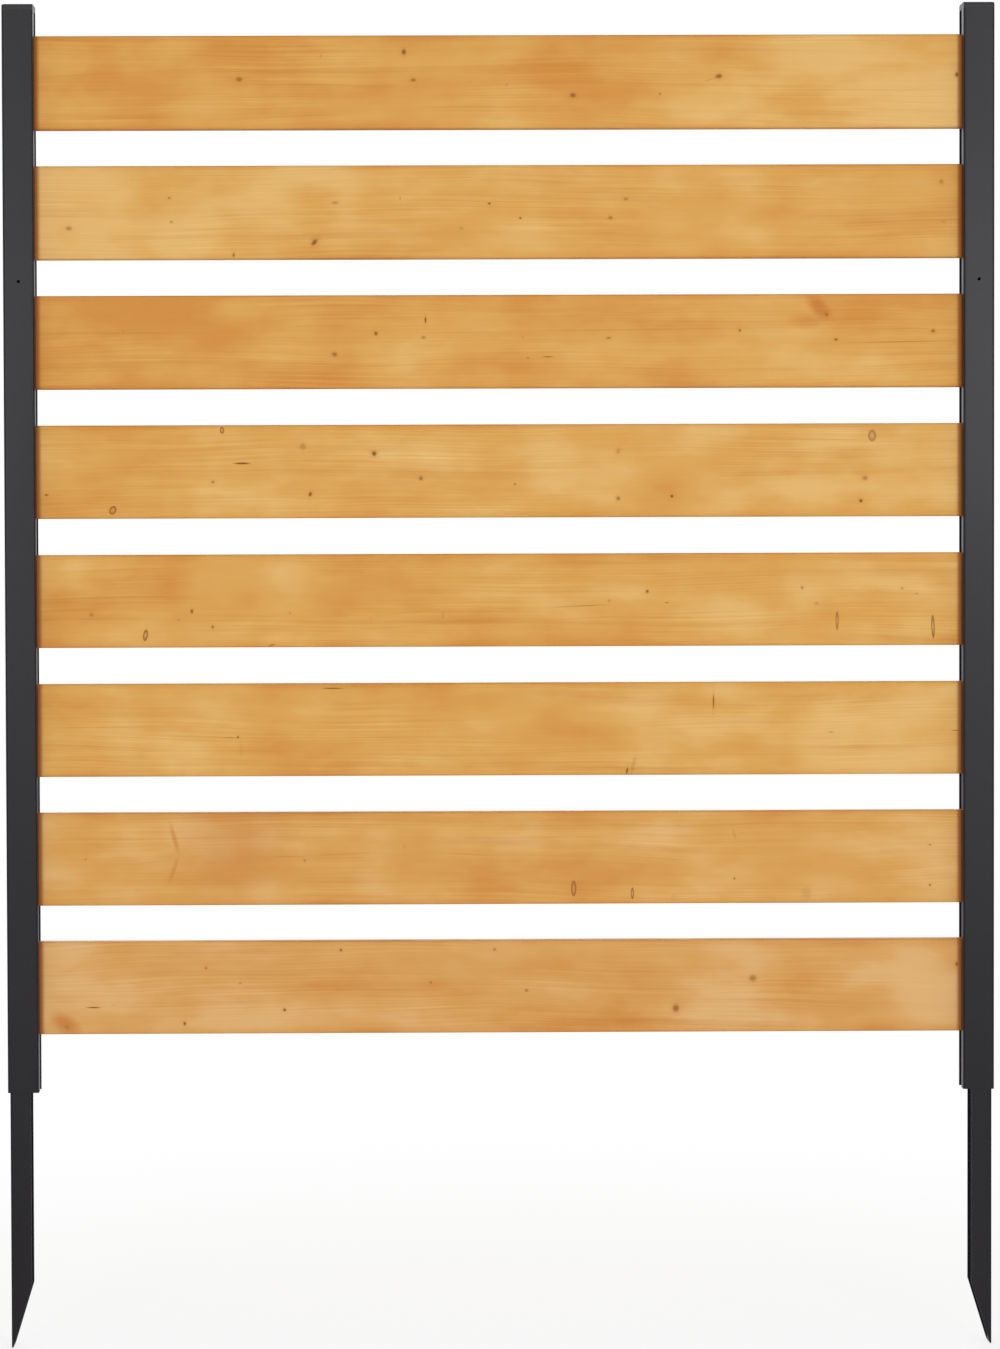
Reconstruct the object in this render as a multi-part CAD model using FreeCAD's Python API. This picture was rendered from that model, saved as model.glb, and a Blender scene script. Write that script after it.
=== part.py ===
import FreeCAD, Part
import math
import os

# Garden privacy screen: eight stained softwood slats held in two slotted steel posts on ground stakes.
# Millimetres. X runs along the slats, -Y is the front and +Z is up. The origin lies on the ground,
# midway between the posts and halfway through their depth.

# Slats: planed boards with eased edges, one above the other with open gaps between them.
SLAT_COUNT = 8
SLAT_HEIGHT = 90.0
SLAT_THICKNESS = 14.0
SLAT_GAP = 35.0
SLAT_SPAN = 895.0  # what shows of a slat, from post to post
SLAT_EDGE_RADIUS = 1.5
SLAT_END_GAP = 1.5  # room for the wood to swell, from a slat's end to the bends of the post's outer wall

# Posts: one strip of sheet rolled to a square section, with a slot along its inner side for the slats.
POST_WIDTH = 30.0
POST_DEPTH = 30.0
POST_WALL = 1.5
POST_BEND_RADIUS = 2.5  # outside of each bend
SLOT_PLAY = 1.0  # the slot is this much wider than a slat is thick
FOOT_CLEARANCE = 55.0  # from the ground to the lowest slat
HEAD_MARGIN = 29.0  # from the highest slat to the top of the caps
HANGING_HOLE_DIAMETER = 3.2  # the post hangs by this hole while it is coated
HANGING_HOLE_GAP = 2  # counted from the top, the gap between slats at whose height the hole lies
HANGING_HOLE_DROP = 4.5  # from the middle of that gap

# Caps: moulded lids, flush with the post, with a three-sided plug that grips inside it.
CAP_RIM_HEIGHT = 5.5
CAP_ROOF_THICKNESS = 2.0
CAP_EDGE_RADIUS = 2.0
CAP_PLUG_LENGTH = 14.0
CAP_PLUG_WALL = 1.6
CAP_PLUG_GAP = 0.3

# Stakes: pressed channels that nest in the foot of each post, open towards the slats, cut to a point.
STAKE_WIDTH = 20.0
STAKE_WALL = 1.5
STAKE_BEND_EXTRA = 1.5  # the stake's bends are this much rounder than the inside of the post's
STAKE_FRONT_GAP = 1.0
STAKE_SIDE_GAP = 0.5
STAKE_IN_GROUND = 248.0
STAKE_POINT_LENGTH = 60.0
STAKE_HEAD_GAP = 5.0  # from the stake's upper end to the lowest slat

# Slat screws: pan heads on the back of the post, one for each end of a slat, at half its height.
SCREW_DIAMETER = 4.0
SCREW_COVER = 3.5  # the wood left in front of a screw's tip
SCREW_TIP_LENGTH = 2.5
SCREW_TIP_DIAMETER = 0.6
SCREW_HEAD_DIAMETER = 8.0
SCREW_HEAD_HEIGHT = 2.6
SCREW_HEAD_RIM = 0.9  # the straight edge of the head, below its slope
SCREW_CROWN_DIAMETER = 4.4  # the flat top of the head
SCREW_HOLE_GAP = 0.3
PILOT_HOLE_GAP = 0.05

# Stake bolts: two to a stake, through the back of the post and the stake's back leg.
BOLT_DIAMETER = 6.0
BOLT_END_PROUD = 2.8  # what stands out of the nut
BOLT_HEAD_ACROSS_FLATS = 10.0
BOLT_HEAD_HEIGHT = 4.0
BOLT_SPACING = 24.0
BOLT_HOLE_GAP = 0.3
WASHER_DIAMETER = 12.0
WASHER_THICKNESS = 1.2
NUT_ACROSS_FLATS = 10.0
NUT_HEIGHT = 5.0
THREAD_GAP = 0.05

# Fasteners and their holes are many and small, so their round forms are drawn with flats.
ROUND_SIDES = 16
HEXAGON_SIDES = 6

# What follows from those sizes.
LEFT = -1
RIGHT = 1
HALF_WIDTH = SLAT_SPAN / 2 + POST_WIDTH
POST_FRONT = -POST_DEPTH / 2
POST_BACK = POST_DEPTH / 2
INNER_FRONT = POST_FRONT + POST_WALL
INNER_BACK = POST_BACK - POST_WALL
SLOT_FRONT = INNER_BACK - SLAT_THICKNESS - SLOT_PLAY
STACK_HEIGHT = SLAT_COUNT * SLAT_HEIGHT + (SLAT_COUNT - 1) * SLAT_GAP
SCREEN_HEIGHT = FOOT_CLEARANCE + STACK_HEIGHT + HEAD_MARGIN
POST_HEIGHT = SCREEN_HEIGHT - CAP_RIM_HEIGHT
SLAT_PITCH = SLAT_HEIGHT + SLAT_GAP
STAKE_HEAD = FOOT_CLEARANCE - STAKE_HEAD_GAP
POST_INNER_BEND = max(POST_BEND_RADIUS - POST_WALL, 0)
SLAT_END_INSET = POST_WALL + POST_INNER_BEND + SLAT_END_GAP  # from the post's outer face to a slat's end
STAKE_OUTSIDE = POST_WALL + STAKE_SIDE_GAP  # from the post's outer face to the stake
STAKE_FRONT = INNER_FRONT + STAKE_FRONT_GAP
STAKE_BEND_RADIUS = POST_INNER_BEND + STAKE_BEND_EXTRA
BOLT_HEIGHTS = ((STAKE_HEAD - BOLT_SPACING) / 2, (STAKE_HEAD + BOLT_SPACING) / 2)
BOLT_INSET = STAKE_OUTSIDE + (STAKE_WALL + STAKE_WIDTH) / 2  # the middle of the leg beside the web
BOLT_LENGTH = WASHER_THICKNESS + POST_WALL + STAKE_WALL + NUT_HEIGHT + BOLT_END_PROUD
SCREW_INSET = POST_WIDTH / 2
SCREW_LENGTH = POST_WALL + SLAT_THICKNESS - SCREW_COVER


def along(side, inset):
    """The X of a point that lies so far inside a post's outer face."""
    return side * (HALF_WIDTH - inset)


def slat_foot(number):
    """The height of a slat's lower edge; slat 1 is the highest."""
    return FOOT_CLEARANCE + (SLAT_COUNT - number) * SLAT_PITCH


def rounded_outline(corners, height):
    """A closed level wire through (x, y, radius) corners, each rounded to its radius."""
    edges = []
    ends = []
    for index, (x, y, radius) in enumerate(corners):
        corner = FreeCAD.Vector(x, y, height)
        before = FreeCAD.Vector(*corners[index - 1][:2], height)
        after = FreeCAD.Vector(*corners[(index + 1) % len(corners)][:2], height)
        back = (before - corner).normalize()
        forth = (after - corner).normalize()
        if radius <= 0:
            ends.append((corner, corner))
            continue
        half_angle = back.getAngle(forth) / 2
        reach = radius / math.tan(half_angle)
        start = corner + back * reach
        finish = corner + forth * reach
        middle = corner + (back + forth).normalize() * (radius / math.sin(half_angle) - radius)
        edges.append(Part.Arc(start, middle, finish).toShape())
        ends.append((start, finish))
    for index in range(len(corners)):
        edges.append(Part.LineSegment(ends[index - 1][1], ends[index][0]).toShape())
    return Part.Wire(Part.__sortEdges__(edges))


def prism(corners, foot, head):
    """An upright solid on a rounded outline, from one height to another."""
    face = Part.Face(rounded_outline(corners, foot))
    return face.extrude(FreeCAD.Vector(0, 0, head - foot))


def ring(sides, diameter, side, inset, height, depth):
    """An upright regular polygon across the corners of that diameter, facing front."""
    points = []
    for corner in range(sides + 1):
        angle = 2 * math.pi * corner / sides
        x = along(side, inset) + diameter / 2 * math.cos(angle)
        points.append(FreeCAD.Vector(x, depth, height + diameter / 2 * math.sin(angle)))
    return Part.makePolygon(points)


def turned(sections, side, inset, height):
    """A turned bar along Y through (depth, diameter) sections."""
    rings = [ring(ROUND_SIDES, diameter, side, inset, height, depth) for depth, diameter in sections]
    return Part.makeLoft(rings, True, True)


def rod(diameter, side, inset, height, start, finish):
    """A bar of one diameter along Y, between two depths, so far inside a post's outer face."""
    return turned([(start, diameter), (finish, diameter)], side, inset, height)


def hexagon(across_flats, side, height, start, finish):
    """A hexagonal bar along Y on a stake bolt's axis, with a flat up and a flat down."""
    across_corners = 2 * across_flats / math.sqrt(3)
    face = Part.Face(ring(HEXAGON_SIDES, across_corners, side, BOLT_INSET, height, start))
    return face.extrude(FreeCAD.Vector(0, finish - start, 0))


def screw_height(number):
    """The height of the screws of a slat."""
    return slat_foot(number) + SLAT_HEIGHT / 2


def post(side):
    """A slotted post: front face, outer wall and back face, and the lip that folds back beside the slot."""
    corners = [
        (along(side, POST_WIDTH), SLOT_FRONT, 0),
        (along(side, POST_WIDTH), POST_FRONT, POST_BEND_RADIUS),
        (along(side, 0), POST_FRONT, POST_BEND_RADIUS),
        (along(side, 0), POST_BACK, POST_BEND_RADIUS),
        (along(side, POST_WIDTH), POST_BACK, 0),
        (along(side, POST_WIDTH), INNER_BACK, 0),
        (along(side, POST_WALL), INNER_BACK, POST_INNER_BEND),
        (along(side, POST_WALL), INNER_FRONT, POST_INNER_BEND),
        (along(side, POST_WIDTH - POST_WALL), INNER_FRONT, POST_INNER_BEND),
        (along(side, POST_WIDTH - POST_WALL), SLOT_FRONT, 0),
    ]
    body = prism(corners, 0, POST_HEIGHT)
    holes = []
    for number in range(1, SLAT_COUNT + 1):
        diameter = SCREW_DIAMETER + 2 * SCREW_HOLE_GAP
        height = screw_height(number)
        holes.append(rod(diameter, side, SCREW_INSET, height, INNER_BACK, POST_BACK))
    for height in BOLT_HEIGHTS:
        diameter = BOLT_DIAMETER + 2 * BOLT_HOLE_GAP
        holes.append(rod(diameter, side, BOLT_INSET, height, INNER_BACK, POST_BACK))
    hanging_height = slat_foot(HANGING_HOLE_GAP) - SLAT_GAP / 2 - HANGING_HOLE_DROP
    hanging_mouth = FreeCAD.Vector(along(side, POST_WIDTH / 2), POST_FRONT, hanging_height)
    inwards = FreeCAD.Vector(0, 1, 0)
    holes.append(Part.makeCylinder(HANGING_HOLE_DIAMETER / 2, POST_WALL, hanging_mouth, inwards))
    return body.cut(holes)


def cap_lid(side):
    """The part of a cap that shows: the post's outline, square towards the slats and rounded over elsewhere."""
    corners = [
        (along(side, POST_WIDTH), POST_FRONT, 0),
        (along(side, 0), POST_FRONT, POST_BEND_RADIUS),
        (along(side, 0), POST_BACK, POST_BEND_RADIUS),
        (along(side, POST_WIDTH), POST_BACK, 0),
    ]
    lid = prism(corners, POST_HEIGHT, SCREEN_HEIGHT)
    rounded = []
    for edge in lid.Edges:
        box = edge.BoundBox
        on_top = box.ZMin > SCREEN_HEIGHT - CAP_EDGE_RADIUS / 2
        faces_slats = box.XLength < CAP_EDGE_RADIUS / 2 and abs(box.Center.x) < HALF_WIDTH - POST_WIDTH / 2
        if on_top and not faces_slats:
            rounded.append(edge)
    return lid.makeFillet(CAP_EDGE_RADIUS, rounded)


def plug_outline(side, gap):
    """Corners of a rectangle that stands so far off the inside of a post."""
    inset = POST_WALL + gap
    return [
        (along(side, POST_WIDTH - inset), INNER_FRONT + gap, POST_INNER_BEND),
        (along(side, inset), INNER_FRONT + gap, POST_INNER_BEND),
        (along(side, inset), INNER_BACK - gap, POST_INNER_BEND),
        (along(side, POST_WIDTH - inset), INNER_BACK - gap, POST_INNER_BEND),
    ]


def post_cap(side):
    """A moulded cap, hollow below, whose plug leaves the slot's side of the post open."""
    plug_foot = POST_HEIGHT - CAP_PLUG_LENGTH
    outside = prism(plug_outline(side, CAP_PLUG_GAP), plug_foot, POST_HEIGHT)
    hollow = prism(
        plug_outline(side, CAP_PLUG_GAP + CAP_PLUG_WALL),
        plug_foot,
        SCREEN_HEIGHT - CAP_ROOF_THICKNESS,
    )
    slot_side = prism(
        [
            (along(side, POST_WIDTH), SLOT_FRONT, 0),
            (along(side, POST_WIDTH - POST_WALL - CAP_PLUG_GAP - CAP_PLUG_WALL), SLOT_FRONT, 0),
            (along(side, POST_WIDTH - POST_WALL - CAP_PLUG_GAP - CAP_PLUG_WALL), INNER_BACK, 0),
            (along(side, POST_WIDTH), INNER_BACK, 0),
        ],
        plug_foot,
        POST_HEIGHT,
    )
    return cap_lid(side).fuse(outside).cut([hollow, slot_side]).removeSplitter()


def slat(number):
    """A board with eased long edges and a blind pilot hole for the screw at each end."""
    start = along(LEFT, SLAT_END_INSET)
    length = -2 * start
    corner = FreeCAD.Vector(start, INNER_BACK - SLAT_THICKNESS, slat_foot(number))
    board = Part.makeBox(length, SLAT_THICKNESS, SLAT_HEIGHT, corner)
    long_edges = [edge for edge in board.Edges if edge.BoundBox.XLength > length / 2]
    board = board.makeFillet(SLAT_EDGE_RADIUS, long_edges)
    depth = SCREW_LENGTH - POST_WALL + PILOT_HOLE_GAP
    diameter = SCREW_DIAMETER + 2 * PILOT_HOLE_GAP
    holes = []
    height = screw_height(number)
    for side in (LEFT, RIGHT):
        holes.append(rod(diameter, side, SCREW_INSET, height, INNER_BACK - depth, INNER_BACK))
    return board.cut(holes)


def stake(side):
    """A channel with its web against the post's outer wall and both legs cut to a point at the web."""
    inner_bend = max(STAKE_BEND_RADIUS - STAKE_WALL, 0)
    outer_end = STAKE_OUTSIDE
    web_inside = STAKE_OUTSIDE + STAKE_WALL
    inner_end = STAKE_OUTSIDE + STAKE_WIDTH
    leg_inside = INNER_BACK - STAKE_WALL
    corners = [
        (along(side, inner_end), STAKE_FRONT, 0),
        (along(side, outer_end), STAKE_FRONT, STAKE_BEND_RADIUS),
        (along(side, outer_end), INNER_BACK, STAKE_BEND_RADIUS),
        (along(side, inner_end), INNER_BACK, 0),
        (along(side, inner_end), leg_inside, 0),
        (along(side, web_inside), leg_inside, inner_bend),
        (along(side, web_inside), STAKE_FRONT + STAKE_WALL, inner_bend),
        (along(side, inner_end), STAKE_FRONT + STAKE_WALL, 0),
    ]
    channel = prism(corners, -STAKE_IN_GROUND, STAKE_HEAD)
    tip = FreeCAD.Vector(along(side, web_inside), STAKE_FRONT, -STAKE_IN_GROUND)
    corner = FreeCAD.Vector(along(side, inner_end), STAKE_FRONT, -STAKE_IN_GROUND)
    slant_top = corner + FreeCAD.Vector(0, 0, STAKE_POINT_LENGTH)
    slant = Part.Face(Part.makePolygon([tip, corner, slant_top, tip]))
    cuts = [slant.extrude(FreeCAD.Vector(0, INNER_BACK - STAKE_FRONT, 0))]
    for height in BOLT_HEIGHTS:
        diameter = BOLT_DIAMETER + 2 * BOLT_HOLE_GAP
        cuts.append(rod(diameter, side, BOLT_INSET, height, leg_inside, INNER_BACK))
    return channel.cut(cuts)


def slat_screw(side, number):
    """A pointed screw with a pan head that seats on the post's back face."""
    height = screw_height(number)
    shank = [
        (POST_BACK - SCREW_LENGTH, SCREW_TIP_DIAMETER),
        (POST_BACK - SCREW_LENGTH + SCREW_TIP_LENGTH, SCREW_DIAMETER),
        (POST_BACK, SCREW_DIAMETER),
    ]
    head = [
        (POST_BACK, SCREW_HEAD_DIAMETER),
        (POST_BACK + SCREW_HEAD_RIM, SCREW_HEAD_DIAMETER),
        (POST_BACK + SCREW_HEAD_HEIGHT, SCREW_CROWN_DIAMETER),
    ]
    return turned(head, side, SCREW_INSET, height).fuse(turned(shank, side, SCREW_INSET, height))


def slat_screws(side):
    """The screws in one post, as separate solids."""
    return Part.makeCompound([slat_screw(side, number) for number in range(1, SLAT_COUNT + 1)])


def stake_bolts(side):
    """Hexagon-head bolts, put in from the back of the post."""
    seat = POST_BACK + WASHER_THICKNESS
    bolts = []
    for height in BOLT_HEIGHTS:
        head = hexagon(BOLT_HEAD_ACROSS_FLATS, side, height, seat, seat + BOLT_HEAD_HEIGHT)
        shank = rod(BOLT_DIAMETER, side, BOLT_INSET, height, seat - BOLT_LENGTH, seat)
        bolts.append(head.fuse(shank))
    return Part.makeCompound(bolts)


def stake_washers(side):
    """Flat washers between the bolt heads and the post."""
    finish = POST_BACK + WASHER_THICKNESS
    washers = []
    for height in BOLT_HEIGHTS:
        disc = rod(WASHER_DIAMETER, side, BOLT_INSET, height, POST_BACK, finish)
        hole = rod(BOLT_DIAMETER + 2 * BOLT_HOLE_GAP, side, BOLT_INSET, height, POST_BACK, finish)
        washers.append(disc.cut(hole))
    return Part.makeCompound(washers)


def stake_nuts(side):
    """Hexagon nuts inside the stake, seated on its back leg."""
    finish = INNER_BACK - STAKE_WALL
    nuts = []
    for height in BOLT_HEIGHTS:
        block = hexagon(NUT_ACROSS_FLATS, side, height, finish - NUT_HEIGHT, finish)
        hole = rod(BOLT_DIAMETER + 2 * THREAD_GAP, side, BOLT_INSET, height, finish - NUT_HEIGHT, finish)
        nuts.append(block.cut(hole))
    return Part.makeCompound(nuts)


def build():
    """Every piece by name."""
    pieces = {f"slat_{number}": slat(number) for number in range(1, SLAT_COUNT + 1)}
    for name, side in (("left", LEFT), ("right", RIGHT)):
        pieces[f"{name}_post"] = post(side)
        pieces[f"{name}_post_cap"] = post_cap(side)
        pieces[f"{name}_stake"] = stake(side)
        pieces[f"{name}_slat_screws"] = slat_screws(side)
        pieces[f"{name}_stake_bolts"] = stake_bolts(side)
        pieces[f"{name}_stake_washers"] = stake_washers(side)
        pieces[f"{name}_stake_nuts"] = stake_nuts(side)
    return pieces


os.makedirs("parts", exist_ok=True)
for name, shape in build().items():
    shape.exportStep(f"parts/{name}.step")
    print(name, len(shape.Solids), "solids", round(shape.Volume / 1000, 2), "cm3")
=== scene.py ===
# %% [markdown]
# # A slatted garden screen
# Eight stained softwood boards stand one above the other between two slotted steel posts. Each post has a
# moulded cap on top and a pointed stake below, which goes into the lawn. The model was measured and packed
# elsewhere, so this lesson first loads it as a fixed frame, and then dresses it: boards with eased edges,
# screws, bolts, and a finish for every surface. All lengths are in metres.

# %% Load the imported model
import math

import bmesh
import bpy
from mathutils import Matrix, Vector


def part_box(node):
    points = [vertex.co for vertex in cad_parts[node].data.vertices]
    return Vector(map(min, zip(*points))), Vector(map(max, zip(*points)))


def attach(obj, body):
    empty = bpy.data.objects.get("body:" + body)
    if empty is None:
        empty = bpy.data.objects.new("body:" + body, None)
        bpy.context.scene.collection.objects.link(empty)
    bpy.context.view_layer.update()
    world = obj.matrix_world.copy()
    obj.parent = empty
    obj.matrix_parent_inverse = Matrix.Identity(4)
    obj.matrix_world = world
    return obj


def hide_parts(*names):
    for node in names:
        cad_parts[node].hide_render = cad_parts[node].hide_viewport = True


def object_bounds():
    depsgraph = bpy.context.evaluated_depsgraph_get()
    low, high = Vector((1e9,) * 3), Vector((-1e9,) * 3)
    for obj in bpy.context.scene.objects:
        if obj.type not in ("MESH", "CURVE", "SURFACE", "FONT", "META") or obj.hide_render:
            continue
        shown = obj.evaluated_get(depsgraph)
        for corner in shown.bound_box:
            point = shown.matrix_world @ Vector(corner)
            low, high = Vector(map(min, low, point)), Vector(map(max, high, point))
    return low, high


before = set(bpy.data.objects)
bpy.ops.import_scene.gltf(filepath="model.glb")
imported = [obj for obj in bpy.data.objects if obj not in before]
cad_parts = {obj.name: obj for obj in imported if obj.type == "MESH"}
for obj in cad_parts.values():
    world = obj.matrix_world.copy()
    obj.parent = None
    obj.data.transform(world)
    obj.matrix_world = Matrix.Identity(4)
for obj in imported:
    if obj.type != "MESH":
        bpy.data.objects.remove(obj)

solid_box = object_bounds()
print("nodes:", ", ".join(sorted(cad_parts)))
print("box of the solids:", [tuple(round(v, 4) for v in corner) for corner in solid_box])

# %% [markdown]
# ## Where things are
# Nothing is placed by eye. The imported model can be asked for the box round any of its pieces, so the pitch
# of the boards, the height of the bolts and the face that a screw head sits on are read from it. A piece
# that is dressed later then lands exactly where its plain solid was.

# %% Read the sizes that everything else follows
SIDES = ("left", "right")
BOARD_NUMBERS = range(1, 9)

boards = {number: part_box(f"slat_{number}") for number in BOARD_NUMBERS}
board_low, board_high = boards[8]
BOARD_LENGTH = board_high.x - board_low.x
BOARD_DEPTH = board_high.y - board_low.y
BOARD_HEIGHT = board_high.z - board_low.z
BOARD_PITCH = boards[7][0].z - board_low.z
POST_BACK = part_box("left_post")[1].y
SHOWN_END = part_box("right_post")[0].x
MILLIMETRE = 0.001
print(f"board {BOARD_LENGTH:.3f} x {BOARD_DEPTH:.3f} x {BOARD_HEIGHT:.3f}, one every {BOARD_PITCH:.3f}")

# %% [markdown]
# ## One small tool for node trees
# Materials and Geometry Nodes are both trees of nodes. Linking every socket by hand hides the idea, so this
# class holds one socket and lets plain Python arithmetic add the Math nodes. Any other node comes from the
# one method `node`, which sets a node up first and then fills or links its sockets.

# %% Arithmetic on sockets
class Flow:
    """One socket of a node tree. Arithmetic on it adds Math nodes to the tree."""

    def __init__(self, tree, socket=None):
        self.tree = tree
        self.socket = socket

    def node(self, kind, settings=(), sockets=(), output=0):
        """Adds a node, sets it up, fills or links its sockets, and gives one of its outputs."""
        made = self.tree.nodes.new(kind)
        for name, value in dict(settings).items():
            setattr(made, name, value)
        for key, value in dict(sockets).items():
            if isinstance(value, Flow):
                self.tree.links.new(value.socket, made.inputs[key])
            else:
                made.inputs[key].default_value = value
        return Flow(self.tree, made.outputs[output]) if made.outputs else made

    def maths(self, operation, *values):
        return self.node("ShaderNodeMath", {"operation": operation}, enumerate(values))

    def __add__(self, other):
        return self.maths("ADD", self, other)

    def __radd__(self, other):
        return self.maths("ADD", other, self)

    def __sub__(self, other):
        return self.maths("SUBTRACT", self, other)

    def __rsub__(self, other):
        return self.maths("SUBTRACT", other, self)

    def __mul__(self, other):
        return self.maths("MULTIPLY", self, other)

    def __rmul__(self, other):
        return self.maths("MULTIPLY", other, self)

    def __abs__(self):
        return self.maths("ABSOLUTE", self)

    def rise(self, low, high, start=0.0, end=1.0):
        """Goes smoothly from start to end while this value goes from low to high."""
        ends = {"Value": self, "From Min": low, "From Max": high, "To Min": start, "To Max": end}
        return self.node("ShaderNodeMapRange", {"interpolation_type": "SMOOTHSTEP"}, ends)

    def between(self, first, second, how="MIX"):
        """The colour that lies this far on the way from the first colour to the second."""
        settings = {"data_type": "RGBA", "blend_type": how}
        return self.node("ShaderNodeMix", settings, {0: self, 6: first, 7: second}, 2)


def colour(red, green, blue):
    """A colour as a picture editor shows it, 0 to 255, as the light that Blender works with."""
    light = []
    for value in (red, green, blue):
        share = value / 255
        light.append(share / 12.92 if share <= 0.04045 else ((share + 0.055) / 1.055) ** 2.4)
    return (*light, 1.0)


print("mid grey as light:", tuple(round(v, 3) for v in colour(128, 128, 128)))

# %% [markdown]
# ## A start for every finish
# All the finishes use the Principled shader, which behaves like a real surface under any light. What stays
# the same all over a surface, such as how strongly it mirrors, is set on the shader itself. What changes
# from place to place is linked to its colour, roughness or normal. Patterns are read in Object coordinates,
# in metres, so a grain of 2 mm is 2 mm on every piece.

# %% A finish and the patterns it is made from
def new_finish(name, **constants):
    """An empty finish: the material, its shader node and the flow of Object coordinates."""
    material = bpy.data.materials.new(name)
    material.use_nodes = True
    tree = material.node_tree
    shader = tree.nodes["Principled BSDF"]
    for socket, value in constants.items():
        shader.inputs[socket.replace("_", " ")].default_value = value
    place = Flow(tree).node("ShaderNodeTexCoord", output="Object")
    return material, shader, place


def stretched(place, scale, shift=(0.0, 0.0, 0.0)):
    """The same place, squeezed by a scale along each axis and moved on."""
    return place.node("ShaderNodeMapping", {}, {"Vector": place, "Scale": scale, "Location": shift})


def cloud(place, size=1.0, detail=2.0, roughness=0.5):
    """Soft random values from 0 to 1."""
    values = {"Vector": place, "Scale": size, "Detail": detail, "Roughness": roughness}
    return place.node("ShaderNodeTexNoise", {}, values)


def wear(shader, place, base=None, roughness=None, relief=None, strength=0.2, depth=0.0002):
    """Links a finish's changing values to its shader."""
    links = shader.id_data.links
    if base:
        links.new(base.socket, shader.inputs["Base Color"])
    if roughness:
        links.new(roughness.socket, shader.inputs["Roughness"])
    if relief:
        values = {"Height": relief, "Strength": strength, "Distance": depth}
        links.new(place.node("ShaderNodeBump", {}, values).socket, shader.inputs["Normal"])


# %% [markdown]
# ## Powder-coated steel
# Posts and stakes are sprayed with a dry powder and baked. The skin is anthracite, slightly blue and satin,
# with a very fine orange-peel texture. Two clouds make it: one of about a millimetre for the peel and its
# flecks, and one of a hand's width for the slight cloudiness that large painted faces always have.

# %% The coat of the posts and stakes
def powder_coat():
    material, shader, place = new_finish("coated_steel", Specular_IOR_Level=0.165)
    peel = cloud(place, 900.0, 3.0)
    drift = cloud(stretched(place, (14.0, 14.0, 3.0)))
    base = (peel * 0.6 + drift * 0.4).rise(0.25, 0.75).between(colour(27, 25, 30), colour(33, 31, 36))
    wear(shader, place, base, drift.rise(0.3, 0.7, 0.33, 0.39), peel, 0.2, 0.0001)
    return material


coated_steel = powder_coat()
for side in SIDES:
    for piece in ("post", "stake"):
        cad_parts[f"{side}_{piece}"].material_slots[0].material = coated_steel
print("coated:", ", ".join(f"{side}_{piece}" for side in SIDES for piece in ("post", "stake")))

# %% [markdown]
# ## Moulded caps
# The caps are injection-moulded, so they are a shade browner and duller than the posts, with a fine even
# grain from the mould. The same cloud at a smaller size gives that grain.

# %% The plastic of the caps
def moulded_plastic():
    material, shader, place = new_finish("cap_plastic", Specular_IOR_Level=0.28)
    grain = cloud(place, 1600.0, 2.0)
    base = grain.rise(0.3, 0.7).between(colour(34, 31, 31), colour(40, 37, 37))
    wear(shader, place, base, grain.rise(0.3, 0.7, 0.5, 0.6), grain, 0.3, 0.0001)
    return material


cap_plastic = moulded_plastic()
for side in SIDES:
    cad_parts[f"{side}_post_cap"].material_slots[0].material = cap_plastic
print("moulded:", ", ".join(f"{side}_post_cap" for side in SIDES))

# %% [markdown]
# ## Bright zinc
# Screws, bolts, washers and nuts are zinc plated. Zinc is a metal, so its colour tints what it mirrors, and
# its roughness changes in small patches where the pieces rubbed against each other in their box.

# %% The plating of the fasteners
def zinc():
    material, shader, place = new_finish("plated_steel", Metallic=1.0)
    patches = cloud(place, 350.0, 3.0)
    base = patches.rise(0.3, 0.7).between(colour(188, 190, 192), colour(212, 213, 214))
    wear(shader, place, base, patches.rise(0.3, 0.7, 0.22, 0.4), patches, 0.1, 0.0001)
    return material


plated_steel = zinc()
print("nodes in the plating:", len(plated_steel.node_tree.nodes))
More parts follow.
